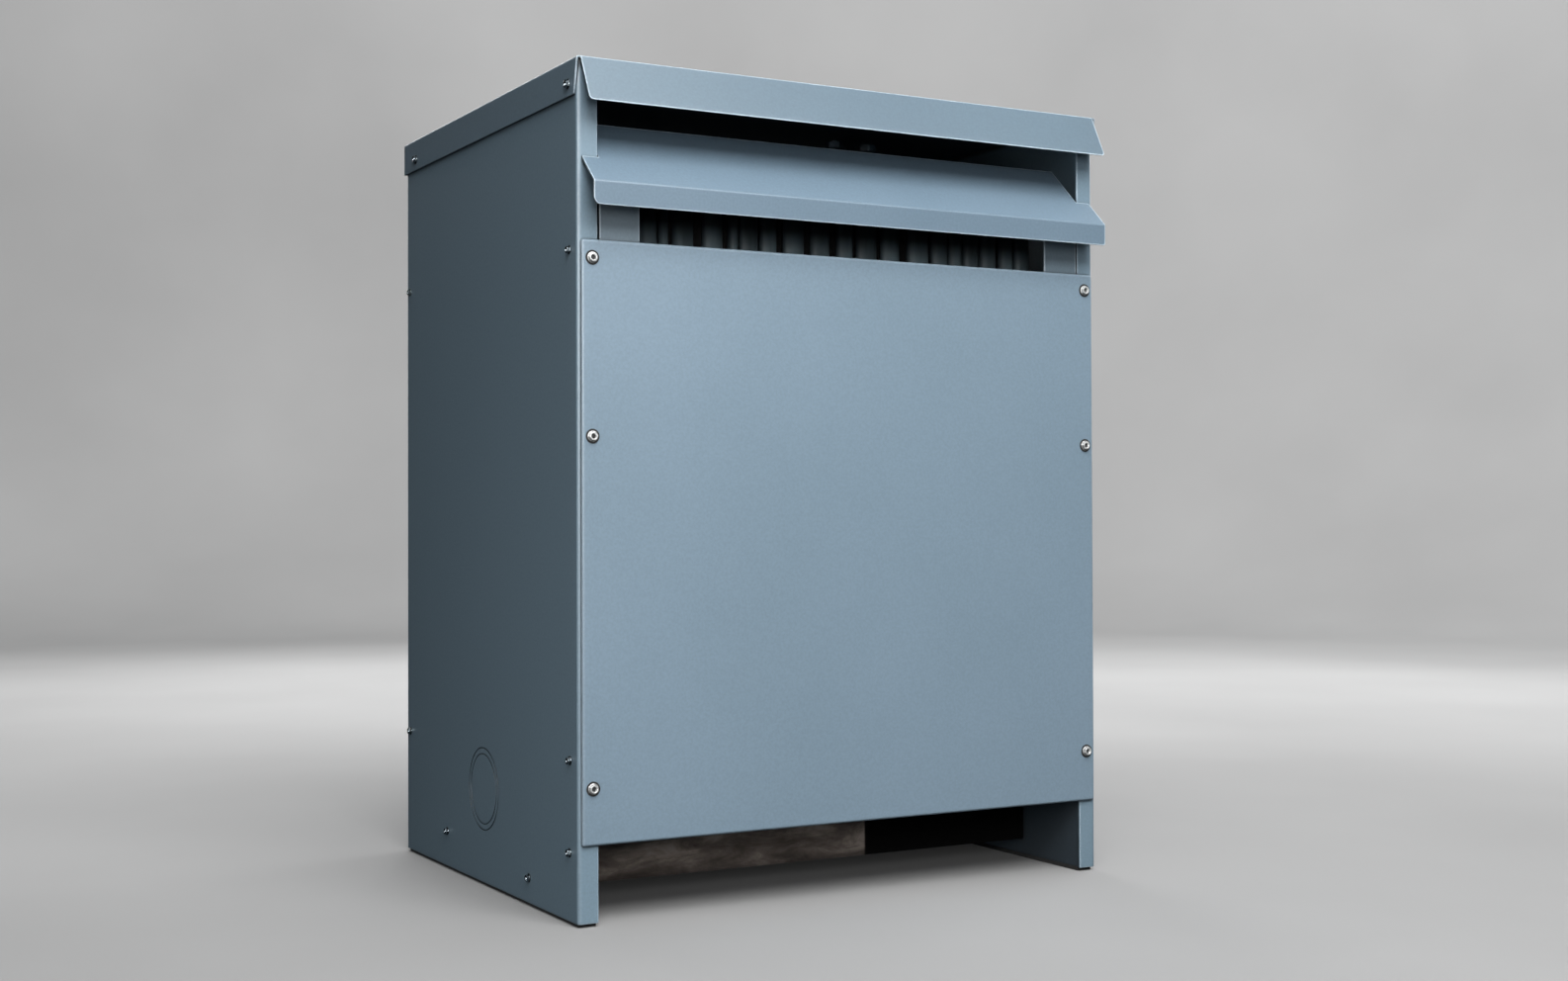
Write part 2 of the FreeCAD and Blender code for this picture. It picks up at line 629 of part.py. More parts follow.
for side in ("left", "right"):
    base_strip(side)
    base_rail(side)
    side_panel(side)
    hood_bracket(side)
    rear_bracket(side)
top_cover()
lid_screws()
for end, back in (("front", False), ("rear", True)):
    case_cover(f"{end}_cover", back)
    cover_screws(f"{end}_cover_screws", back)
front_hood()
rear_blade()
base_channel("base_channel_front")
base_channel("base_channel_rear", back=True)
for side, sign in (("left", "-"), ("right", "")):
    spot = f"({sign}Sizes.pad_spacing / 2)"
    isolation_pad(f"isolation_pad_front_{side}", spot, f"(-{CHANNEL_Y})")
    isolation_pad(f"isolation_pad_rear_{side}", spot, CHANNEL_Y)
for end, upper in (("lower", False), ("upper", True)):
    core_clamp(f"{end}_clamp_front", upper)
    core_clamp(f"{end}_clamp_rear", upper, back=True)
core()
for index, name in enumerate(("left", "middle", "right")):
    phase(name, index)
doc.recompute()

for item in doc.Objects:
    if "Invalid" in item.State or "Error" in item.State:
        raise RuntimeError(f"{item.Label} did not compute: {item.State}")
for part in parts:
    if part.Shape.isNull() or not part.Shape.isValid():
        raise RuntimeError(f"{part.Label} has no valid shape")

os.makedirs("parts", exist_ok=True)
for part in parts:
    part.Shape.exportStep(f"parts/{part.Label}.step")
    box = part.Shape.BoundBox
    print(f"{part.Label:26s} x {box.XMin:8.1f} {box.XMax:8.1f}  y {box.YMin:8.1f} {box.YMax:8.1f}"
          f"  z {box.ZMin:7.1f} {box.ZMax:7.1f}  {part.Shape.Volume / 1000:9.1f} cm3")
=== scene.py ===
import json
import math
import random

import bmesh
import bpy
from mathutils import Matrix, Vector


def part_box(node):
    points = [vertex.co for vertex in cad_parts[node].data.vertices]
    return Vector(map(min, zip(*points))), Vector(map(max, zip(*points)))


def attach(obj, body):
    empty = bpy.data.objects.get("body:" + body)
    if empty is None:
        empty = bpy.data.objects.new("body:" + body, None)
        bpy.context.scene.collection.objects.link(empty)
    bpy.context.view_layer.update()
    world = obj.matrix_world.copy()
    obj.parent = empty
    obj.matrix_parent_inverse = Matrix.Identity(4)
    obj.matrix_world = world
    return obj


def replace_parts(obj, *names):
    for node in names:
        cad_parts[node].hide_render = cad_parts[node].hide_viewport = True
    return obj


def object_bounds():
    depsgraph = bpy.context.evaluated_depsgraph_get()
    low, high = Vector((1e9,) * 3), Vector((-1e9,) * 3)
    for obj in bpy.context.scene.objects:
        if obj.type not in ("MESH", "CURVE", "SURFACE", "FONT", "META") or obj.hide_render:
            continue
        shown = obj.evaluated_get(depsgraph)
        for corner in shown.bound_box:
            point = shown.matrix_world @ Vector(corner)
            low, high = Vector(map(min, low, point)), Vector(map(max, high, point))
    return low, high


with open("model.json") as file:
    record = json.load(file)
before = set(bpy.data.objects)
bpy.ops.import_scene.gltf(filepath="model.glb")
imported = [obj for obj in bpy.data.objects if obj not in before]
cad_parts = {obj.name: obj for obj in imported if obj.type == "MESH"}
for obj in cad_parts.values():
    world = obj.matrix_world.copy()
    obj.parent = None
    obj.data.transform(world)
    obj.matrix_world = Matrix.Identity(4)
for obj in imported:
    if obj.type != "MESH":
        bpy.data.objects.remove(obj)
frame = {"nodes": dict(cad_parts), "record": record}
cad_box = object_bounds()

# A dry-type power transformer in a satin-enamelled sheet-steel case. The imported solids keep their
# shapes and get their real finishes; the screws, the bolts and the ribbed windings are modelled here.
# Metres, +Z up, the front of the case towards -Y.

MM = 0.001


# ---- Sizes -----------------------------------------------------------------------------------

SIDES = (("left", -1), ("right", 1))
UP = Vector((0, 0, 1))
FRONT = Vector((0, -1, 0))
BACK = Vector((0, 1, 0))

# Round outlines are drawn with this many sides.
ROUND_SIDES = 48

# Hex heads with a washer rolled on: the washer's width, the hex across its flats, the washer's
# height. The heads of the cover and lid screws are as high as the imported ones.
COVER_SCREW = {"washer": 8.8 * MM, "flats": 6.6 * MM, "washer_high": 0.7 * MM}
LID_SCREW = {"washer": 8.4 * MM, "flats": 6.2 * MM, "washer_high": 0.6 * MM}
SIDE_SCREW = {"washer": 7.2 * MM, "flats": 5.2 * MM, "washer_high": 0.6 * MM}
SIDE_SCREW_HIGH = 2.8 * MM
CLAMP_BOLT = {"washer": 20.0 * MM, "flats": 16.0 * MM, "washer_high": 2.0 * MM}
CLAMP_BOLT_HIGH = 9.0 * MM

# The thin black ring that shows round each cover screw.
BLACK_RING_WIDTH = 11.6 * MM
BLACK_RING_HIGH = 0.5 * MM

# The small screws of a side panel: how far behind the panel's middle, and how high, in millimetres.
SIDE_SCREW_PLACES = ((-193.0, 535.0), (-193.0, 130.0), (-192.0, 57.0), (199.0, 541.0), (199.0, 116.5))

# The base bolts: how far in front of the middle of each channel, and how high.
BASE_BOLT_AHEAD = 6.0 * MM
BASE_BOLT_HEIGHTS = (("front", 23.5 * MM), ("rear", 34.5 * MM))

# The clamp bolts: how far each one of a pair is from the middle of the case.
CLAMP_BOLT_PLACES = (46 * MM, 81 * MM)

# From this far right of the middle the base channels are coloured black: a painted shadow. Below two
# heights they are darker towards the floor: painted shade.
CHANNEL_SHADOW_FROM = 63.0 * MM
CHANNEL_SHADE_HEIGHTS = (17 * MM, 27 * MM)

# The spacer strips on the front of the windings: where each begins and ends across the case, in
# millimetres. Each stands proud of the winding and is sunk a little into it. Near the top they are
# darkened between two heights: a painted shadow of the hood.
STRIPS = ((-221, -205), (-199, -182), (-176, -160), (-158, -150), (-144, -125), (-116, -98),
          (-91, -83), (-81, -64), (-60, -45), (-38, -18), (-10, 8), (16, 31), (36, 56), (62, 80),
          (90, 112), (115, 132), (134, 147), (150, 166), (170, 186), (190, 204), (207, 223))
STRIP_PROUD = 9.0 * MM
STRIP_SUNK = 1.0 * MM
HOOD_SHADOW_HEIGHTS = (552 * MM, 570 * MM)
COIL_CORNER = 3.0 * MM


# ---- Materials -------------------------------------------------------------------------------

def linear(code):
    """An sRGB hex colour as linear red, green, blue and a full alpha."""
    parts = [int(code[i:i + 2], 16) / 255 for i in (1, 3, 5)]
    return tuple(c / 12.92 if c <= 0.04045 else ((c + 0.055) / 1.055) ** 2.4 for c in parts) + (1.0,)


def per_metre(millimetres):
    """The texture scale that repeats a pattern at this spacing, for coordinates in metres."""
    return 1000.0 / millimetres


# A wave texture of scale 1 has 20 radians to the unit, so this share of it makes one band.
WAVE = math.tau / 20


def add(tree, kind, settings=None, links=None):
    """Add one node. A setting or link is named after a socket, its number, or a property."""
    node = tree.nodes.new("ShaderNode" + kind)
    for name, value in (settings or {}).items():
        if isinstance(name, int) or name in node.inputs:
            node.inputs[name].default_value = value
        else:
            setattr(node, name, value)
    for name, source in (links or {}).items():
        tree.links.new(source, node.inputs[name])
    return node


def new_material(name):
    material = bpy.data.materials.new(name)
    material.use_nodes = True
    material.node_tree.nodes.clear()
    return material, material.node_tree


def finish_with(tree, settings, links):
    """Add the surface shader and its output."""
    shader = add(tree, "BsdfPrincipled", settings, links)
    add(tree, "OutputMaterial", links={"Surface": shader.outputs[0]})


def ramp(tree, source, stops):
    """A colour ramp through (position, colour) stops."""
    node = add(tree, "ValToRGB", links={"Fac": source})
    elements = node.color_ramp.elements
    while len(elements) < len(stops):
        elements.new(0.5)
    for element, (position, colour) in zip(elements, stops):
        element.position = position
        element.color = colour
    return node.outputs["Color"]


def grey(level):
    return (level, level, level, 1.0)


def satin_enamel(name, pale, deep, edge_wear_and_highlight_colour, roughness, walls=None):
    """Baked enamel on sheet steel: an even satin skin with a faint orange peel from the spray.
    It holds soft reflections. Along the cut edges of the sheet it is pale: partly thin, worn
    enamel, partly a painted highlight for the light that the edges catch. Painted shade darkens
    the score lines and the joins where one sheet lies on another. Where walls is given, the
    faces turned to the side take that colour in place of the sheet's own, so that they can be
    lighter or darker than the rest as the light falls (painted shade); they show no pale edge."""
    material, tree = new_material(name)
    place = add(tree, "TexCoord").outputs["Object"]
    cloud = add(tree, "TexNoise", {"Scale": per_metre(260), "Detail": 3.0, "Roughness": 0.55},
                {"Vector": place}).outputs["Fac"]
    colour = ramp(tree, cloud, ((0.3, linear(deep)), (0.7, linear(pale))))
    flat = add(tree, "NewGeometry").outputs["True Normal"]
    # Painted shade: faces turned to the side take their own colour, so that faces of one sheet that
    # look other ways are lighter or darker as the light falls.
    if walls:
        across = add(tree, "SeparateXYZ", links={0: flat}).outputs["X"]
        tilt = add(tree, "Math", {"operation": "ABSOLUTE"}, {0: across}).outputs[0]
        aside = add(tree, "Math", {"operation": "GREATER_THAN", 1: 0.9}, {0: tilt}).outputs[0]
        colour = add(tree, "Mix", {"data_type": "RGBA", 7: linear(walls)},
                     {0: aside, 6: colour}).outputs[2]
    # The real peel is about 1 mm across; it is drawn at 2.2 mm, so that it just shows.
    peel = add(tree, "TexNoise", {"Scale": per_metre(2.2), "Detail": 2.0, "Roughness": 0.5},
               {"Vector": place}).outputs["Fac"]
    fleck = ramp(tree, peel, ((0.3, grey(0.94)), (0.7, grey(1.06))))
    colour = add(tree, "Mix", {"data_type": "RGBA", "blend_type": "MULTIPLY", "Factor": 1.0},
                 {6: colour, 7: fleck}).outputs[2]
    gloss = add(tree, "MapRange", {3: roughness - 0.04, 4: roughness + 0.05},
                {0: cloud}).outputs[0]
    # The pale edge: partly worn enamel, partly a painted highlight on the edges that would catch the
    # light.
    wide = add(tree, "Bevel", {"samples": 6, "Radius": 2.0 * MM}).outputs[0]
    level = add(tree, "VectorMath", {"operation": "DOT_PRODUCT"}, {0: wide, 1: flat}).outputs["Value"]
    near_edge = add(tree, "MapRange", {1: 0.99, 2: 0.88, 3: 0.0, 4: 1.0}, {0: level}).outputs[0]
    clear = add(tree, "AmbientOcclusion", {"samples": 8, "Distance": 6 * MM}).outputs["AO"]
    proud = add(tree, "MapRange", {1: 0.75, 2: 0.95, 3: 0.0, 4: 1.0}, {0: clear}).outputs[0]
    bare_edge_and_highlight = add(tree, "Math", {"operation": "MULTIPLY"}, {0: near_edge, 1: proud}).outputs[0]
    if walls:
        bare_edge_and_highlight = add(tree, "Math", {"operation": "SUBTRACT", "use_clamp": True},
                   {0: bare_edge_and_highlight, 1: aside}).outputs[0]
    colour = add(tree, "Mix", {"data_type": "RGBA", 7: linear(edge_wear_and_highlight_colour)},
                 {0: bare_edge_and_highlight, 6: colour}).outputs[2]
    # Painted shade: the colour is darkened in the score lines, the joins and the hollows, where shade
    # falls.
    join_shade = ramp(tree, clear, ((0.5, grey(0.12)), (0.9, grey(1.0))))
    colour = add(tree, "Mix", {"data_type": "RGBA", "blend_type": "MULTIPLY", "Factor": 1.0},
                 {6: colour, 7: join_shade}).outputs[2]
    narrow = add(tree, "Bevel", {"samples": 4, "Radius": 1.1 * MM}).outputs[0]
    rounded = add(tree, "Bump", {"Strength": 0.05, "Distance": 0.1 * MM},
                  {"Height": peel, "Normal": narrow}).outputs[0]
    finish_with(tree, {"IOR": 1.5}, {"Base Color": colour, "Roughness": gloss, "Normal": rounded})
    return material


def zinc_plate(name, deep, pale, metal, gloss):
    """Zinc plate on screws and bolts: a slightly clouded shine, with painted shade darkening the bottom
    of the dent.
    """
    material, tree = new_material(name)
    place = add(tree, "TexCoord").outputs["Object"]
    cloud = add(tree, "TexNoise", {"Scale": per_metre(3), "Detail": 2.0},
                {"Vector": place}).outputs["Fac"]
    colour = ramp(tree, cloud, ((0.3, linear(deep)), (0.7, linear(pale))))
    clear = add(tree, "AmbientOcclusion", {"samples": 8, "Distance": 3 * MM}).outputs["AO"]
    # Painted shade: the colour is darkened at the bottom of the dent and where the head meets the
    # sheet.
    recess_shade = ramp(tree, clear, ((0.55, grey(0.03)), (0.9, grey(1.0))))
    colour = add(tree, "Mix", {"data_type": "RGBA", "blend_type": "MULTIPLY", "Factor": 1.0},
                 {6: colour, 7: recess_shade}).outputs[2]
    finish_with(tree, {"Metallic": metal, "Roughness": gloss}, {"Base Color": colour})
    return material


def varnished_wrap():
    """Windings taped with aramid paper and dipped in black varnish: nearly black, half glossy."""
    material, tree = new_material("varnished_winding_wrap")
    place = add(tree, "TexCoord").outputs["Object"]
    # The paper tape overlaps by half its 20 mm width.
    lap = add(tree, "TexWave", {"bands_direction": "Z", "Scale": per_metre(10) * WAVE,
                                "Distortion": 1.5, "Detail": 2.0, "Detail Scale": 1.0},
              {"Vector": place}).outputs["Fac"]
    colour = ramp(tree, lap, ((0.2, linear("#070707")), (0.8, linear("#0F0F0F"))))
    bump = add(tree, "Bump", {"Strength": 0.35, "Distance": 0.4 * MM}, {"Height": lap}).outputs[0]
    finish_with(tree, {"Specular IOR Level": 0.2, "Roughness": 0.5},
                {"Base Color": colour, "Normal": bump})
    return material


def varnished_strip():
    """The spacer strips on the windings: grey glass-fibre board under the varnish, clouded and
    streaked downwards, where the varnish ran before it was baked. Near the top they are almost
    black: a painted shadow, where the hood shades them."""
    material, tree = new_material("varnished_spacer_strip")
    place = add(tree, "TexCoord").outputs["Object"]
    drawn = add(tree, "Mapping", {"Scale": (per_metre(16), per_metre(16), per_metre(90))},
                {"Vector": place}).outputs[0]
    streaks = add(tree, "TexNoise", {"Scale": 1.0, "Detail": 3.0}, {"Vector": drawn}).outputs["Fac"]
    colour = ramp(tree, streaks, ((0.3, linear("#485459")), (0.7, linear("#6F8087"))))
    high = add(tree, "SeparateXYZ", links={0: place}).outputs["Z"]
    # Painted shadow: the strips darken towards the top, where the hood shades them.
    thick = add(tree, "MapRange", {1: HOOD_SHADOW_HEIGHTS[0], 2: HOOD_SHADOW_HEIGHTS[1]}, {0: high}).outputs[0]
    hood_shadow = ramp(tree, thick, ((0.0, grey(1.0)), (0.5, grey(0.5)), (1.0, grey(0.12))))
    colour = add(tree, "Mix", {"data_type": "RGBA", "blend_type": "MULTIPLY", "Factor": 1.0},
                 {6: colour, 7: hood_shadow}).outputs[2]
    edge = add(tree, "Bevel", {"samples": 4, "Radius": 0.8 * MM}).outputs[0]
    bump = add(tree, "Bump", {"Strength": 0.2, "Distance": 0.3 * MM},
               {"Height": streaks, "Normal": edge}).outputs[0]
    finish_with(tree, {"Specular IOR Level": 0.25, "Roughness": 0.5},
                {"Base Color": colour, "Normal": bump})
    return material


def core_sheets():
    """The core: a stack of thin silicon-steel sheets on edge, sealed under a black varnish.
    Real sheets are 0.35 mm; the lines are drawn 1.4 mm apart, so that they show."""
    material, tree = new_material("varnished_core_sheets")
    place = add(tree, "TexCoord").outputs["Object"]
    sheets = add(tree, "TexWave", {"bands_direction": "Y", "Scale": per_metre(1.4) * WAVE,
                                   "Distortion": 0.6, "Detail": 2.0},
                 {"Vector": place}).outputs["Fac"]
    colour = ramp(tree, sheets, ((0.2, linear("#0C0C0C")), (0.8, linear("#1A1919"))))
    bump = add(tree, "Bump", {"Strength": 0.5, "Distance": 0.15 * MM}, {"Height": sheets}).outputs[0]
    finish_with(tree, {"Roughness": 0.5}, {"Base Color": colour, "Normal": bump})
    return material


def clamp_varnish():
    """The core clamps: mild steel dipped in the same black varnish as the core, half dull. Their colour
    is kept near black, partly the varnish and partly painted shade for the dark inside of the case.
    """
    material, tree = new_material("clamp_varnish")
    place = add(tree, "TexCoord").outputs["Object"]
    cloud = add(tree, "TexNoise", {"Scale": per_metre(30), "Detail": 6.0, "Roughness": 0.65},
                {"Vector": place}).outputs["Fac"]
    # Partly painted shade: near black, so that the clamps look as dark as the shaded inside of the
    # case.
    colour = ramp(tree, cloud, ((0.32, linear("#0A0A0A")), (0.7, linear("#131312"))))
    bump = add(tree, "Bump", {"Strength": 0.25, "Distance": 0.2 * MM}, {"Height": cloud}).outputs[0]
    finish_with(tree, {"Roughness": 0.45}, {"Base Color": colour, "Normal": bump})
    return material


def scaled_channel():
    """The base channels: hot-rolled steel under brown mill scale and dust, ridged along the bar.
    The right-hand part is coloured black as a painted shadow, and the bar darkens towards the
    floor as painted shade."""
    material, tree = new_material("scaled_channel_steel")
    place = add(tree, "TexCoord").outputs["Object"]
    drawn = add(tree, "Mapping", {"Scale": (per_metre(46), per_metre(20), per_metre(15))},
                {"Vector": place}).outputs[0]
    scale = add(tree, "TexNoise", {"Scale": 1.0, "Detail": 9.0, "Roughness": 0.68, "Distortion": 0.5},
                {"Vector": drawn}).outputs["Fac"]
    brown = ramp(tree, scale, ((0.34, linear("#534C47")), (0.5, linear("#756B65")),
                               (0.66, linear("#A1968D"))))
    axes = add(tree, "SeparateXYZ", links={0: place})
    above = add(tree, "MapRange", {1: CHANNEL_SHADE_HEIGHTS[0], 2: CHANNEL_SHADE_HEIGHTS[1]},
                {0: axes.outputs["Z"]}).outputs[0]
    # Painted shade: the channel darkens towards its lower edge, by the floor.
    low_shade = ramp(tree, above, ((0.0, grey(0.35)), (1.0, grey(1.0))))
    brown = add(tree, "Mix", {"data_type": "RGBA", "blend_type": "MULTIPLY", "Factor": 1.0},
                {6: brown, 7: low_shade}).outputs[2]
    # Painted shadow: right of this line the channel is coloured black, as if in shadow.
    in_shadow = add(tree, "MapRange", {1: CHANNEL_SHADOW_FROM - 1 * MM, 2: CHANNEL_SHADOW_FROM + 1 * MM},
                  {0: axes.outputs["X"]}).outputs[0]
    colour = add(tree, "Mix", {"data_type": "RGBA", 7: linear("#020202")},
                 {0: in_shadow, 6: brown}).outputs[2]
    bump = add(tree, "Bump", {"Strength": 0.8, "Distance": 1.8 * MM}, {"Height": scale}).outputs[0]
    finish_with(tree, {"Specular IOR Level": 0.1, "Roughness": 0.85},
                {"Base Color": colour, "Normal": bump})
    return material


def moulded_rubber(name):
    """Black moulded rubber: matte, with a fine mould grain and a little grey dust."""
    material, tree = new_material(name)
    place = add(tree, "TexCoord").outputs["Object"]
    grain = add(tree, "TexNoise", {"Scale": per_metre(1.2), "Detail": 3.0},
                {"Vector": place}).outputs["Fac"]
    colour = ramp(tree, grain, ((0.35, linear("#0B0B0B")), (0.75, linear("#1B1B1A"))))
    bump = add(tree, "Bump", {"Strength": 0.3, "Distance": 0.15 * MM}, {"Height": grain}).outputs[0]
    finish_with(tree, {"Roughness": 0.82}, {"Base Color": colour, "Normal": bump})
    return material


def studio_paper():
    """The floor and backdrop: plain pale matte paper. It glows faintly, in place of the light
    that its own curved walls would throw back on it."""
    material, tree = new_material("studio_paper")
    place = add(tree, "TexCoord").outputs["Object"]
    cloud = add(tree, "TexNoise", {"Scale": per_metre(900), "Detail": 4.0},
                {"Vector": place}).outputs["Fac"]
    colour = ramp(tree, cloud, ((0.3, linear("#848484")), (0.7, linear("#8C8C8C"))))
    finish_with(tree, {"Specular IOR Level": 0.05, "Roughness": 0.85, "Emission Color": grey(1.0),
                       "Emission Strength": 0.012}, {"Base Color": colour})
    return material


# The pale line along the cut edges of the enamelled sheets: partly thin, worn enamel, partly a painted
# highlight for the light that the rounded edges catch.
EDGE_WEAR_AND_HIGHLIGHT = "#BCCBD6"

# The finish of each slot in the record.
MATERIALS = {
    "side_panel_paint": satin_enamel("side_panel_enamel", "#6D818E", "#677B88", EDGE_WEAR_AND_HIGHLIGHT, 0.42,
                                     walls="#6A7E8B"),
    # Painted shade: the lid's top and front take a darker copy of the enamel than its sides, as the
    # light falls on them.
    "top_cover_paint": satin_enamel("lid_shaded_enamel", "#4F616D", "#4B5C68", EDGE_WEAR_AND_HIGHLIGHT, 0.42,
                                    walls="#637683"),
    "cover_paint": satin_enamel("cover_enamel", "#6F818F", "#6A7C89", EDGE_WEAR_AND_HIGHLIGHT, 0.40),
    # Painted shade: the hood and its brackets take darker copies of the cover's enamel, for the shade
    # they look to lie in.
    "hood_paint": satin_enamel("hood_shaded_enamel", "#5E707E", "#596B79", EDGE_WEAR_AND_HIGHLIGHT, 0.42),
    "bracket_paint": satin_enamel("bracket_shaded_enamel", "#61707B", "#5C6B74", EDGE_WEAR_AND_HIGHLIGHT, 0.45),
    # Painted shade: the rails take a much darker copy of the enamel, for the inner walls that lie in
    # shade under the case.
    "rail_paint": satin_enamel("rail_shaded_enamel", "#36414A", "#2E3840", "#4A555E", 0.55),
    # Painted reflection: the cover screws' zinc is pale and only half metal, so that it looks bright
    # without bright surroundings to reflect.
    "screw_zinc": zinc_plate("bright_zinc_plate", "#C2C4C4", "#E6E7E6", 0.55, 0.28),
    "strip_rubber": moulded_rubber("strip_rubber"),
    "pad_rubber": moulded_rubber("pad_rubber"),
    "channel_steel": scaled_channel(),
    "clamp_steel": clamp_varnish(),
    "core_iron": core_sheets(),
    "winding_wrap": varnished_wrap(),
}

# The screws of the lid and the sides and the bolts are duller than the cover screws.
DARK_ZINC = zinc_plate("dark_zinc_plate", "#7A848A", "#A2ABB0", 1.0, 0.20)


def dress_nodes():
    """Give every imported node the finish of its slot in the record."""
    for row in frame["record"]["subparts"]:
        piece = frame["nodes"][row["node"]]
        for place in piece.material_slots:
            place.material = MATERIALS[row["material_slot"]]


# ---- Shapes ----------------------------------------------------------------------------------

def new_piece(name, mesh_build, slot, finish=None):
    """A mesh piece made by a bmesh builder, with its slot's finish or one of its own."""
    mesh = bpy.data.meshes.new(name)
    build = bmesh.new()
    mesh_build(build)
    bmesh.ops.recalc_face_normals(build, faces=build.faces)
    build.to_mesh(mesh)
    build.free()
    mesh.materials.append(finish or MATERIALS[slot])
    piece = bpy.data.objects.new(name, mesh)
    bpy.context.scene.collection.objects.link(piece)
    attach(piece, "root")
    return piece


def ring(build, radius_at, height):
    """One loop of points at a height, at a radius that depends on the angle."""
    loop = []
    for i in range(ROUND_SIDES):
        angle = math.tau * i / ROUND_SIDES
        radius = radius_at(angle)
        loop.append(build.verts.new((radius * math.cos(angle), radius * math.sin(angle), height)))
    return loop


def skin(build, loops, smooth_rows=()):
    """Faces between loops that follow each other, and a face over the last one."""
    for row, (low, high) in enumerate(zip(loops, loops[1:])):
        for i in range(len(low)):
            face = build.faces.new((low[i - 1], low[i], high[i], high[i - 1]))
            face.smooth = row in smooth_rows
    build.faces.new(loops[-1])


def hexagon(flats, corner):
    """The radius of a hexagon across its flats, cut off at a corner radius."""
    def radius_at(angle):
        away = (angle + math.pi / 6) % (math.pi / 3) - math.pi / 6
        return min(flats / 2 / math.cos(away), corner)
    return radius_at


def round_at(radius):
    return lambda angle: radius


def set_down(build, first, seat, axis, turn=0.0):
    """Turn the points made since the first one, and put them on their seat, standing along the axis."""
    build.verts.ensure_lookup_table()
    aim = axis.to_track_quat("Z", "Y").to_matrix().to_4x4()
    move = Matrix.Translation(seat) @ aim @ Matrix.Rotation(turn, 4, "Z")
    for vert in build.verts[first:]:
        vert.co = move @ vert.co


def screw_head(build, seat, axis, turn, sizes, high):
    """A hex head with its rolled washer, chamfered on top, with the round dent of cold forming."""
    flats = sizes["flats"]
    washer = sizes["washer"] / 2
    thick = sizes["washer_high"]
    corner = flats / 2 * 1.12
    top = hexagon(flats, flats / 2 * 1.02)
    first = len(build.verts)
    loops = [
        ring(build, round_at(washer * 0.94), 0.0),
        ring(build, round_at(washer), thick * 0.35),
        ring(build, round_at(washer * 0.985), thick * 0.75),
        ring(build, round_at(washer * 0.93), thick),
        ring(build, hexagon(flats * 1.04, corner * 1.03), thick * 1.15),
        ring(build, hexagon(flats, corner), thick * 1.5),
        ring(build, hexagon(flats, corner), high * 0.86),
        ring(build, top, high * 0.97),
        ring(build, round_at(flats * 0.46), high),
        ring(build, round_at(flats * 0.36), high),
        ring(build, round_at(flats * 0.33), high * 0.92),
        ring(build, round_at(flats * 0.29), high * 0.20),
    ]
    skin(build, loops, smooth_rows=(0, 1, 2, 9, 10))
    build.faces.new(loops[0])
    set_down(build, first, seat, axis, turn)


def screws(name, places, sizes, high, finish=None):
    """One mesh of many screw heads. Each was driven home at its own angle."""
    def build_all(build):
        for number, (seat, axis) in enumerate(places):
            screw_head(build, seat, axis, math.radians(37 * number % 60), sizes, high)
    return new_piece(name, build_all, "screw_zinc", finish)


def black_rings(name, places):
    """The thin black ring that shows round each screw."""
    def build_all(build):
        for seat, axis in places:
            first = len(build.verts)
            width = BLACK_RING_WIDTH / 2
            loops = [ring(build, round_at(radius), height)
                     for radius, height in ((width * 0.97, 0.0), (width, BLACK_RING_HIGH * 0.4),
                                            (width * 0.97, BLACK_RING_HIGH), (width * 0.6, BLACK_RING_HIGH))]
            skin(build, loops, smooth_rows=(0, 1))
            build.faces.new(loops[0])
            set_down(build, first, seat, axis)
    new_piece(name, build_all, "pad_rubber")


def solid_centres(node):
    """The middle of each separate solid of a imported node, in a steady order."""
    build = bmesh.new()
    build.from_mesh(frame["nodes"][node].data)
    bmesh.ops.remove_doubles(build, verts=build.verts, dist=0.001 * MM)
    seen = set()
    centres = []
    for start in build.verts:
        if start in seen:
            continue
        island, waiting = [], [start]
        seen.add(start)
        while waiting:
            vert = waiting.pop()
            island.append(vert.co.copy())
            for edge in vert.link_edges:
                other = edge.other_vert(vert)
                if other not in seen:
                    seen.add(other)
                    waiting.append(other)
        low = Vector(map(min, zip(*island)))
        high = Vector(map(max, zip(*island)))
        centres.append((low + high) / 2)
    build.free()
    return sorted(centres, key=lambda spot: (round(spot.x, 4), round(spot.y, 4), round(spot.z, 4)))


def cover_screws():
    """The six screws down the sides of each cover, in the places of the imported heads."""
    for end, axis in (("front", FRONT), ("rear", BACK)):
        low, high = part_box(f"{end}_cover_screws")
        seat_y = high.y if end == "front" else low.y
        rows = solid_centres(f"{end}_cover_screws")
        places = [(Vector((spot.x, seat_y, spot.z)), axis) for spot in rows]
        piece = screws(f"{end}_cover_screw_heads", places, COVER_SCREW, high.y - low.y)
        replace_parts(piece, f"{end}_cover_screws")
        black_rings(f"{end}_cover_screw_black_rings", places)


def lid_screws():
    """The screws through the lid's sides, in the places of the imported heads."""
    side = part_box("top_cover")[1].x
    places = []
    for spot in solid_centres("lid_screws"):
        sign = math.copysign(1, spot.x)
        places.append((Vector((sign * side, spot.y, spot.z)), Vector((sign, 0, 0))))
    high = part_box("lid_screws")[1].x - side
    piece = screws("lid_screw_heads", places, LID_SCREW, high, DARK_ZINC)
    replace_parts(piece, "lid_screws")


def side_screws():
    """The small screws of each side panel: they hold its flanges, its brackets and its rail."""
    low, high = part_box("side_panel_left")
    middle = (low.y + high.y) / 2
    for side, sign in SIDES:
        wall = sign * abs(low.x)
        places = [(Vector((wall, middle + y * MM, z * MM)), Vector((sign, 0, 0)))
                  for y, z in SIDE_SCREW_PLACES]
        screws(f"side_screws_{side}", places, SIDE_SCREW, SIDE_SCREW_HIGH, DARK_ZINC)


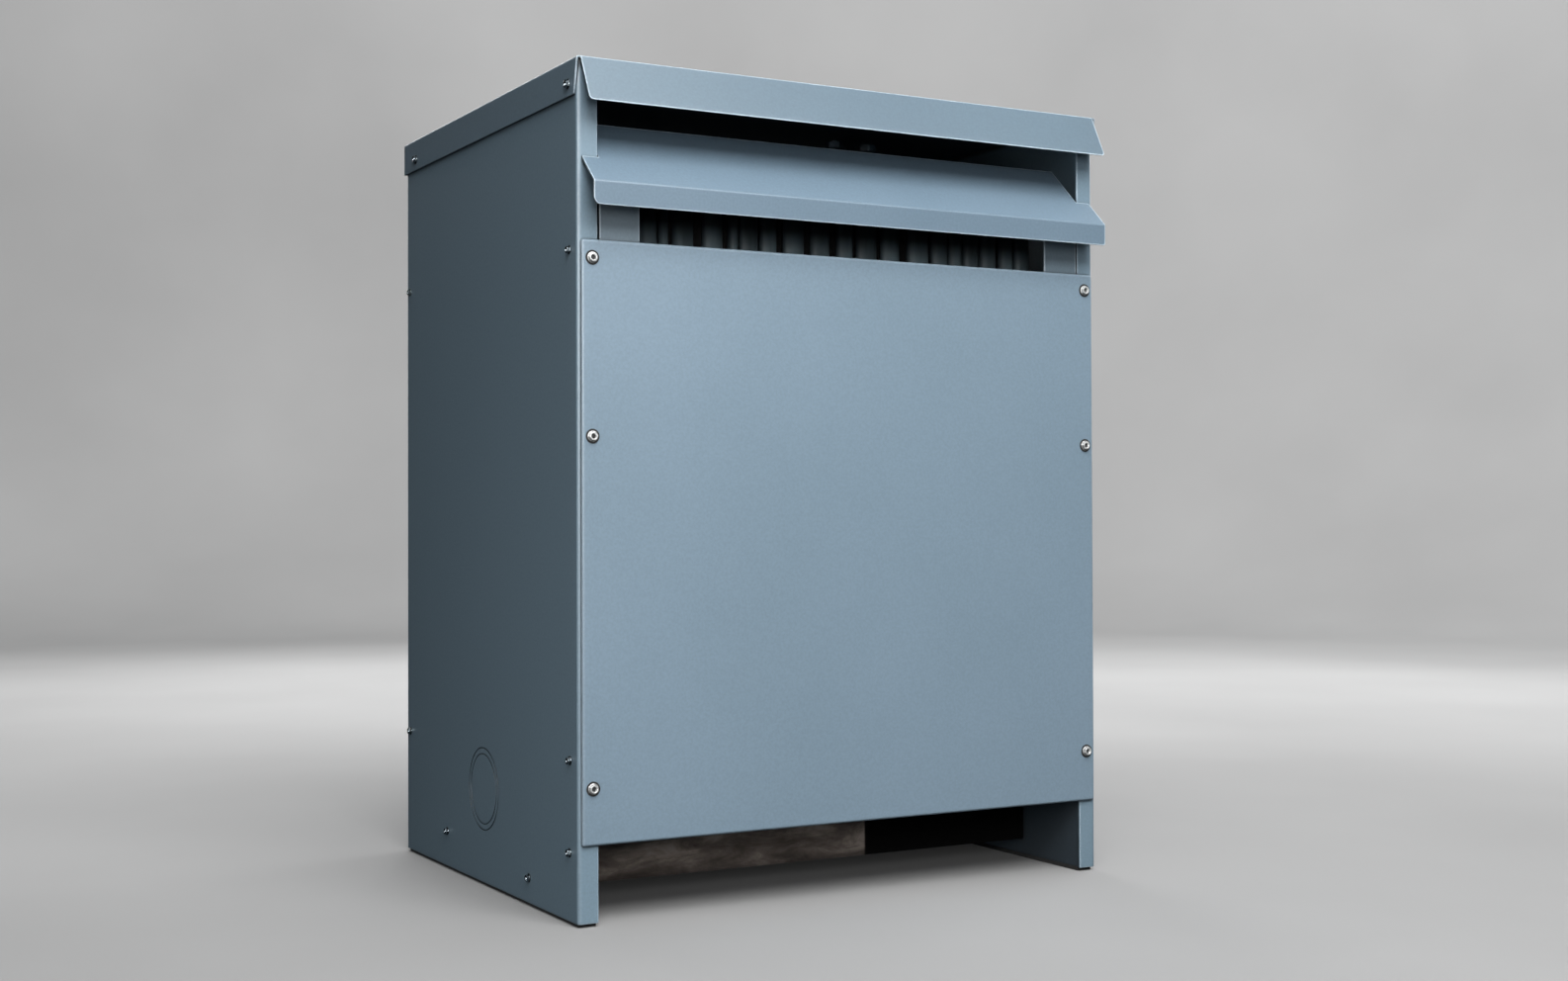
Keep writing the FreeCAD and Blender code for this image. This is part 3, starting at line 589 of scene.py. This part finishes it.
def base_bolts():
    """The bolts through each side panel and its rail into the ends of the base channels, a little
    in front of the middle of each channel."""
    for side, sign in SIDES:
        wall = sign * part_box("side_panel_right")[1].x
        places = []
        for end, height in BASE_BOLT_HEIGHTS:
            low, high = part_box(f"base_channel_{end}")
            across = (low.y + high.y) / 2 - BASE_BOLT_AHEAD
            places.append((Vector((wall, across, height)), Vector((sign, 0, 0))))
        screws(f"base_bolts_{side}", places, SIDE_SCREW, SIDE_SCREW_HIGH, DARK_ZINC)


def clamp_bolts():
    """Bolts down through the feet of the upper clamps, a pair on each."""
    places = []
    for end, sign in (("front", 1), ("rear", -1)):
        low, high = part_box(f"upper_clamp_{end}")
        middle = (low.y + high.y) / 2
        for x in CLAMP_BOLT_PLACES:
            places.append((Vector((sign * x, middle, high.z)), UP))
    screws("clamp_bolt_heads", places, CLAMP_BOLT, CLAMP_BOLT_HIGH, DARK_ZINC)


def lofted_strip(build, path, width, tilt, face_y, sign):
    """An upright spacer strip: a flat bar with worn corners that follows a path of (x, z)."""
    half = width / 2
    outline = [(-half, -STRIP_SUNK), (-half, 0.45 * STRIP_PROUD), (-0.8 * half, 0.86 * STRIP_PROUD),
               (-0.4 * half, 0.98 * STRIP_PROUD), (0.4 * half, 0.98 * STRIP_PROUD),
               (0.8 * half, 0.86 * STRIP_PROUD), (half, 0.45 * STRIP_PROUD), (half, -STRIP_SUNK)]
    loops = []
    for x, z in path:
        loop = []
        for across, proud in outline:
            lean = 1 + tilt * across / half if proud > 0 else 1
            loop.append(build.verts.new((x + across, face_y + sign * proud * lean, z)))
        loops.append(loop)
    skin(build, loops, smooth_rows=range(len(loops)))
    build.faces.new(loops[0])


def coil_wrap(name):
    """The taped body of one winding, round at its four upright corners."""
    low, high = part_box(name)
    left, right = low.x + COIL_CORNER, high.x - COIL_CORNER
    near, far = low.y + COIL_CORNER, high.y - COIL_CORNER
    steps = 6

    def build_all(build):
        outline = []
        for x, y, start in ((right, near, -90), (right, far, 0), (left, far, 90), (left, near, 180)):
            for step in range(steps + 1):
                angle = math.radians(start + 90 / steps * step)
                outline.append((x + COIL_CORNER * math.cos(angle), y + COIL_CORNER * math.sin(angle)))
        loops = [[build.verts.new((x, y, z)) for x, y in outline] for z in (low.z, high.z)]
        skin(build, loops)
        build.faces.new(loops[0])
    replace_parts(new_piece(f"{name}_wrap", build_all, "winding_wrap"), name)


def coil_strips():
    """The spacer strips down the front and the back of the windings. They were tied on by hand,
    so they lean and sway a little."""
    low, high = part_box("winding_middle")
    chance = random.Random(4)
    rows = 12

    def build_all(build):
        for face_y, sign in ((low.y, -1), (high.y, 1)):
            for start, end in STRIPS:
                middle = (start + end) / 2 * MM * -sign
                sway = chance.uniform(0.2, 0.7) * MM
                phase = chance.uniform(0, math.tau)
                path = []
                for row in range(rows + 1):
                    z = low.z + (high.z - low.z) * row / rows
                    path.append((middle + sway * math.sin(phase + row * 0.9), z))
                tilt = chance.uniform(-0.02, 0.02)
                lofted_strip(build, path, (end - start) * MM, tilt, face_y, sign)
    new_piece("winding_strips", build_all, "winding_wrap", varnished_strip())


# ---- Studio ----------------------------------------------------------------------------------

def backdrop():
    """A round paper floor that curves up into a wall all the way round. It throws no light back
    on the case, so the softboxes alone shape it, as they do between black cards."""
    floor_radius = 3.6
    curve = 1.4
    wall_top = 4.2
    steps = 16
    profile = [(0.0, 0.0), (floor_radius, 0.0)]
    for i in range(1, steps + 1):
        angle = math.pi / 2 * i / steps
        profile.append((floor_radius + curve * math.sin(angle), curve * (1 - math.cos(angle))))
    profile.append((floor_radius + curve, wall_top))
    build = bmesh.new()
    edges = []
    verts = [build.verts.new((x, 0, z)) for x, z in profile]
    for start, end in zip(verts, verts[1:]):
        edges.append(build.edges.new((start, end)))
    bmesh.ops.spin(build, geom=verts + edges, cent=(0, 0, 0), axis=(0, 0, 1),
                   angle=math.tau, steps=96, use_merge=True)
    bmesh.ops.remove_doubles(build, verts=build.verts, dist=0.01 * MM)
    bmesh.ops.recalc_face_normals(build, faces=build.faces)
    for face in build.faces:
        face.smooth = True
    mesh = bpy.data.meshes.new("paper_sweep")
    build.to_mesh(mesh)
    build.free()
    mesh.materials.append(studio_paper())
    sweep = bpy.data.objects.new("paper_sweep", mesh)
    bpy.context.scene.collection.objects.link(sweep)
    sweep.visible_diffuse = False
    sweep.visible_glossy = False


def soft_light(name, place, target, width, height, power, only=None, spread=180):
    """A softbox that the camera doesn't see. One can be only for gloss or only for colour, and a
    grid over it can narrow its beam to the spread, in degrees."""
    light = bpy.data.lights.new(name, "AREA")
    light.shape = "RECTANGLE"
    light.size = width
    light.size_y = height
    light.energy = power
    light.spread = math.radians(spread)
    lamp = bpy.data.objects.new(name, light)
    lamp.location = place
    lamp.rotation_euler = (Vector(target) - Vector(place)).to_track_quat("-Z", "Y").to_euler()
    lamp.visible_camera = False
    lamp.visible_diffuse = only != "gloss"
    lamp.visible_glossy = only != "colour"
    bpy.context.scene.collection.objects.link(lamp)


def studio_light():
    """The softboxes: each has its place and what it is aimed at, its width and height, all in
    metres, and its power in watts. The paper softboxes light the backdrop and turn their backs
    on the case."""
    low, high = cad_box
    middle = (low + high) / 2
    soft_light("key_softbox", (-0.26, -1.65, 2.00), middle, 1.9, 1.4, 93)
    soft_light("front_softbox", (-0.38, -2.30, 0.80), middle, 1.4, 0.8, 14)
    soft_light("top_softbox", (-0.10, -0.95, 3.10), middle, 1.6, 1.2, 30)
    soft_light("low_softbox", (-1.00, -0.55, 0.03), (-0.25, -0.15, 0.10), 0.6, 0.6, 0.72, "colour", 110)
    soft_light("edge_softbox", (-0.84, -1.32, 0.55), (-0.25, -0.20, 0.30), 0.5, 0.9, 2.3)
    soft_light("bend_strip", (-1.90, -1.50, 0.90), middle, 0.30, 0.90, 65, "gloss")
    soft_light("fold_strip", (1.00, -1.45, 2.00), middle, 1.20, 0.30, 10, "gloss")
    soft_light("right_fill", (2.30, 0.50, 1.40), middle, 1.4, 1.4, 26)
    soft_light("back_fill", (0.40, 2.50, 1.60), middle, 1.6, 1.4, 40)
    soft_light("paper_softbox_rear", (0.6, 1.2, 3.2), (1.6, 5.0, 0.9), 2.6, 1.2, 250)
    soft_light("paper_softbox_corner", (2.6, 0.2, 2.4), (4.6, 2.4, 0.5), 1.6, 1.2, 70)
    soft_light("paper_softbox_right", (1.2, -1.2, 3.2), (5.0, -2.8, 2.2), 2.2, 1.2, 170)
    soft_light("paper_softbox_front", (-0.4, -1.7, 3.4), (-0.8, -5.0, 2.2), 2.6, 1.2, 190)
    soft_light("paper_softbox_left", (-1.7, 0.2, 3.2), (-5.0, 0.9, 2.2), 2.6, 1.2, 180)
    world = bpy.data.worlds.new("studio_air")
    bpy.context.scene.world = world
    world.use_nodes = True
    background = world.node_tree.nodes["Background"]
    background.inputs["Color"].default_value = linear("#D2E2EC")
    background.inputs["Strength"].default_value = 0.030


def camera():
    """A view from in front and from the left, a little below the middle of the case's height."""
    turn = math.radians(29.272)
    tilt = math.radians(0.758)
    roll = math.radians(-0.178)
    lens = bpy.data.cameras.new("view")
    lens.lens = 44.70
    lens.sensor_width = 36.0
    eye = bpy.data.objects.new("view", lens)
    low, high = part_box("side_panel_left")
    stand = Vector((-0.86146, (low.y + high.y) / 2 - 1.62295, 0.32286))
    eye.matrix_world = (Matrix.Translation(stand)
                        @ Matrix.Rotation(-turn, 4, "Z")
                        @ Matrix.Rotation(math.pi / 2 + tilt, 4, "X")
                        @ Matrix.Rotation(roll, 4, "Z"))
    bpy.context.scene.collection.objects.link(eye)
    bpy.context.scene.camera = eye


bpy.context.scene.view_settings.view_transform = "Standard"
dress_nodes()
cover_screws()
lid_screws()
side_screws()
base_bolts()
clamp_bolts()
for phase in ("left", "middle", "right"):
    coil_wrap(f"winding_{phase}")
coil_strips()
backdrop()
studio_light()
camera()
